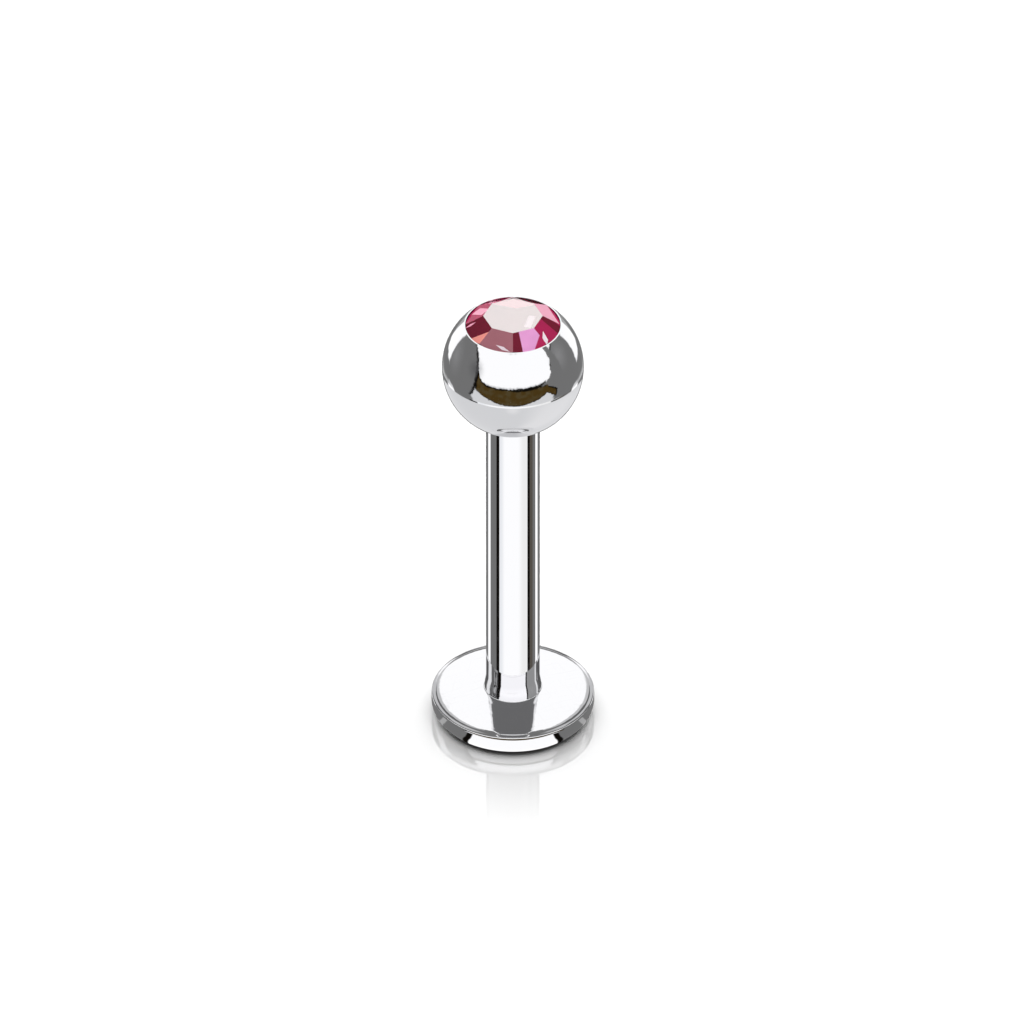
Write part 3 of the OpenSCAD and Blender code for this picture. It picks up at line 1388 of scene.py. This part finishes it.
@dataclass
class Studio:
    """The floor, the light and the camera, in millimetres and degrees.

    The picture, the scale, the axis and the disc's top are in the photograph's pixels.
    """

    picture: float = 1024.0
    scale: float = 33.7
    elevation: float = 36.0
    axis_x: float = 512.9
    disc_top_y: float = 691.2
    lens: float = 1200.0
    sensor: float = 36.0
    clip: tuple[float, float] = (0.01, 10.0)
    floor_size: float = 600.0
    fill: float = 1.3
    cap_lean: float = 24.0
    cap_reach: float = 50.0
    cap_soft: float = 10.0
    cap_rest: float = 0.06
    waver: float = 1.2
    dim: float = 0.3
    floor_ior: float = 2.6
    floor_roughness: float = 0.05
    floor_shine: float = 0.5
    floor_blotch: float = 30.0
    contact: tuple[float, float] = (2.25, 2.7)
    mirror: tuple[float, float] = (2.6, 6.6)
    card_near: float = 1.98
    card_far: float = 3.4
    card_drop: float = 0.02
    card_soft: float = 0.8
    card_contact_shade: tuple[float, float] = (2.2, 2.1)
    card_reach: tuple[float, float] = (4.0, 6.0)

    def light(self) -> None:
        """Wires the world: a plain one for the camera and the floor, a studio for gloss."""
        world = bpy.data.worlds.new("studio")
        bpy.context.scene.world = world
        world.use_nodes = True
        world.cycles.sampling_method = "NONE"
        graph = Graph(world.node_tree)
        world.node_tree.nodes.clear()
        look = Look.of(graph, self.waver)
        seen = self.paint(graph, look, STUDIO, GROUND, 1.0)
        path = graph.add("LightPath")
        # Rays after two glossy bounces, and none through the stone, see ECHO's painted reflections
        echoed = graph.math("GREATER_THAN", path.outputs["Glossy Depth"], SECOND_BOUNCE)
        clear = graph.math("LESS_THAN", path.outputs["Transmission Depth"], FIRST_BOUNCE)
        seen = self.paint(graph, look, ECHO, seen, graph.math("MULTIPLY", echoed, clear))
        shaded = graph.math("GREATER_THAN", path.outputs["Diffuse Depth"], FIRST_BOUNCE)
        strength = graph.ease(shaded, 0.0, 1.0, 1.0, self.dim)
        studio = graph.add("Background", {"Color": seen, "Strength": strength})
        plain = graph.add("Background", {"Color": PLAIN, "Strength": self.fill_strength(graph, path)})
        glossy = graph.math(
            "MAXIMUM", path.outputs["Is Glossy Ray"], path.outputs["Is Transmission Ray"]
        )
        mixed = graph.feed_all(graph.add("MixShader"), glossy, plain.outputs[0], studio.outputs[0])
        graph.add("OutputWorld", {"Surface": mixed.outputs[0]})
        log.info("studio has %d patches", len(STUDIO) + len(ECHO))

    def paint(self, graph: Graph, look: Look, patches: tuple[Panel | Spot, ...],
              seen: object, mask: object) -> object:
        """Lays patches over what a direction shows.

        Args:
            graph: The world's graph.
            look: The direction.
            patches: The patches, with the last on top.
            seen: The colour below them.
            mask: How much they show, from 0 to 1.

        Returns:
            The colour with the patches on it.
        """
        for patch in patches:
            share = graph.math("MULTIPLY", patch.share(graph, look), mask)
            if patch.side is not Side.BOTH:
                here = look.right
                if patch.side is Side.LEFT:
                    here = graph.math("SUBTRACT", 1.0, here)
                share = graph.math("MULTIPLY", share, here)
            seen = graph.blend(share, seen, patch.colour)
        return seen

    def fill_strength(self, graph: Graph, path: Node) -> Socket:
        """Returns the fill light's strength: even for the camera, a wide cap for the floor.

        Args:
            graph: The world's graph.
            path: The light path node.

        Returns:
            The strength.
        """
        lean = math.radians(self.cap_lean)
        way = graph.add("TexCoord").outputs["Generated"]
        middle = (0.0, math.sin(lean), math.cos(lean))
        facing = graph.vector("DOT_PRODUCT", way, middle, result="Value")
        rim = math.radians(self.cap_reach)
        soft = math.radians(self.cap_soft)
        wide, narrow = math.cos(rim + soft), math.cos(rim - soft)
        level = self.fill / (math.sin(rim) ** 2 * math.cos(lean))
        cap = graph.ease(facing, wide, narrow, self.fill * self.cap_rest, level)
        return graph.ease(path.outputs["Is Camera Ray"], 0.0, 1.0, cap, self.fill)

    def lay_floor(self) -> None:
        """Lays a pale floor that mirrors what stands on it, less and less further out."""
        clear_selection()
        bpy.ops.mesh.primitive_plane_add(size=self.floor_size * MM)
        floor = bpy.context.object
        floor.name = "floor"
        material, graph, shader = new_material("floor_white")
        graph.fill(shader, {"IOR": self.floor_ior, "Roughness": self.floor_roughness})
        distance = graph.distance()
        near, far = (r * MM for r in self.mirror)
        shine = graph.ease(distance, near, far, self.floor_shine, 0.0)
        edge = graph.ease(distance, *(r * MM for r in self.contact))
        graph.feed(shader.inputs["Specular IOR Level"], graph.math("MULTIPLY", shine, edge))
        cloud = graph.noise(graph.place(), self.floor_blotch * MM)
        shade = graph.blend(cloud, CHALK, PAPER)
        share = graph.math("MULTIPLY", shine, 1 / self.floor_shine)
        graph.feed(shader.inputs["Base Color"], graph.blend(share, shade, FELT))
        floor.data.materials.append(material)
        floor.visible_glossy = False

    def lay_card(self) -> None:
        """Lays a banded ring of card round the disc, which only the steel sees: it glows with the painted
        reflection that the disc's rim shows, and is black nearest the disc as painted contact shade.
        """
        line = Section(self.card_near, -self.card_drop).line(self.card_far, -self.card_drop)
        card = line.turn("rim_card", GIRDLE_SIDES).finish(ROUND_EDGE)
        material = bpy.data.materials.new("rim_card_painted_reflection")
        material.use_nodes = True
        graph = Graph(material.node_tree)
        material.node_tree.nodes.clear()
        x, y, _ = graph.split(graph.place())
        bearing = graph.bearing(x, y)
        seen: object = GREY
        # The bands glow as the rim's painted reflection
        for colour, near, far in RIM_REFLECTION_BANDS:
            seen = graph.blend(graph.within(bearing, near, far, self.card_soft), seen, colour)
        # Painted contact shade: the card is black nearest the disc
        under = graph.ease(graph.distance(), *(r * MM for r in self.card_contact_shade))
        seen = graph.blend(under, seen, BLACK)
        path = graph.add("LightPath")
        far_off = graph.ease(path.outputs["Ray Length"], *(reach * MM for reach in self.card_reach))
        seen = graph.blend(far_off, seen, GROUND)
        shown = graph.math("LESS_THAN", path.outputs["Diffuse Depth"], FIRST_BOUNCE)
        glow = graph.add("Emission", {"Color": seen, "Strength": shown})
        graph.add("OutputMaterial", {"Surface": glow.outputs[0]})
        card.data.materials.clear()
        card.data.materials.append(material)
        card.visible_camera = card.visible_diffuse = card.visible_transmission = False
        card.visible_shadow = False

    def set_camera(self, disc_t: float) -> None:
        """Stands the camera where the photograph was taken from.

        Args:
            disc_t: The height in millimetres of the disc's top.
        """
        rise = math.radians(self.elevation)
        middle = self.picture / 2
        aim_x = (middle - self.axis_x) / self.scale
        aim_z = disc_t + (self.disc_top_y - middle) / self.scale / math.cos(rise)
        distance = self.picture / self.scale * self.lens / self.sensor
        back = Vector((0, -math.cos(rise), math.sin(rise)))
        clear_selection()
        bpy.ops.object.camera_add(location=(Vector((aim_x, 0, aim_z)) + back * distance) * MM)
        camera = bpy.context.object
        camera.rotation_euler = (-back).to_track_quat("-Z", "Y").to_euler()
        camera.data.lens = self.lens
        camera.data.sensor_width = self.sensor
        camera.data.clip_start, camera.data.clip_end = self.clip
        scene = bpy.context.scene
        scene.camera = camera
        scene.view_settings.view_transform = "Standard"
        scene.view_settings.look = "None"


def main() -> None:
    """Loads the frame, builds and dresses each piece, and sets the studio."""
    logging.basicConfig(level=logging.INFO, format="%(name)s: %(message)s")
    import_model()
    post = LabretPost(Thread())
    ball = ThreadedBall(post)
    crystal = Crystal(ball)
    for part, node, body, slot in (
        (post, "labret_post", Body.POST, Slot.POST),
        (ball, "threaded_ball", Body.BALL, Slot.BALL),
        (crystal, "crystal", Body.BALL, Slot.STONE),
        (StoneBed(crystal), "stone_bed", Body.BED, Slot.BED),
    ):
        piece = part.build()
        part.dress(piece)
        hand_over(piece, node, body, slot)

    studio = Studio()
    studio.light()
    studio.lay_floor()
    studio.lay_card()
    studio.set_camera(post.disc_t)
    log.info("boxes written")


if __name__ == "__main__":
    main()
